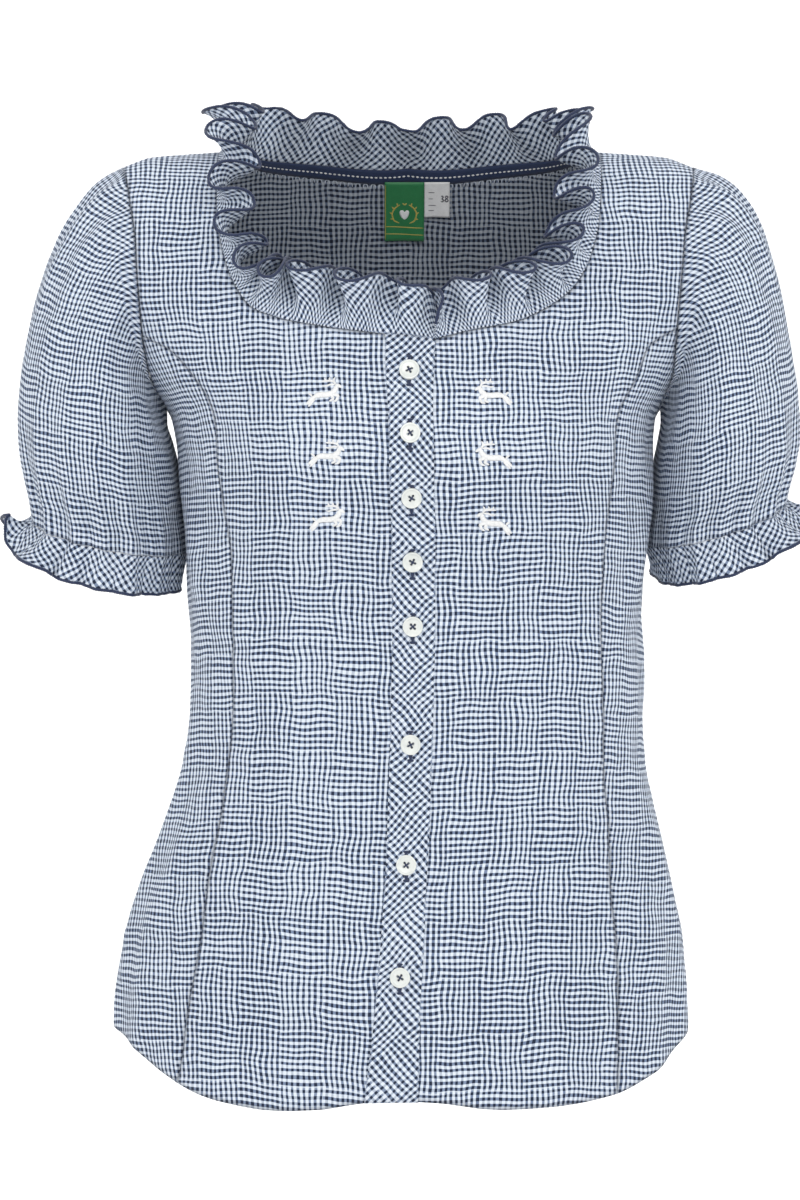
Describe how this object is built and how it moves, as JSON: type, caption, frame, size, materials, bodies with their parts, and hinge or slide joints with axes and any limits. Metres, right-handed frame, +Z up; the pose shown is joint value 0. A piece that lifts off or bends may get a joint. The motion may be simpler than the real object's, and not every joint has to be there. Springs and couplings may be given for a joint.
{
  "type": "dirndl blouse",
  "caption": "Short-sleeved dirndl blouse, filled out: button front with a bias strip, princess seams, puff sleeves and gathered frills round the neck and cuffs.",
  "frame": {"origin": "midway between the two neck points of the shoulder seams, where the wearer's shoulders carry the blouse", "axes": "+Z up the wearer's body, -Y out of the front, +X to the wearer's left"},
  "size_m": [0.5274, 0.2577, 0.6413],
  "materials": {
    "check_cloth": "navy and white seersucker check in a basket layout",
    "bias_cloth": "the same check cut on the bias, with a navy overlocked edge",
    "navy_tape": "navy tape with white running stitches",
    "green_label": "woven green label with gold lines, no name",
    "white_label": "white satin size label",
    "pearl_button": "pearly off-white four-hole button"
  },
  "bodies": {
    "root": {"front_right": "check_cloth", "front_left": "check_cloth", "side_front_right": "check_cloth", "side_front_left": "check_cloth", "back": "check_cloth", "sleeve_right": "check_cloth", "sleeve_left": "check_cloth", "cuff_frill_right": "bias_cloth", "cuff_frill_left": "bias_cloth", "neck_frill": "bias_cloth", "placket": "bias_cloth", "neck_tape": "navy_tape", "neck_label": "green_label", "size_label": "white_label", "button_1": "pearl_button", "button_2": "pearl_button", "button_3": "pearl_button", "button_4": "pearl_button", "button_5": "pearl_button", "button_6": "pearl_button", "button_7": "pearl_button", "button_8": "pearl_button"}
  },
  "joints": []
}
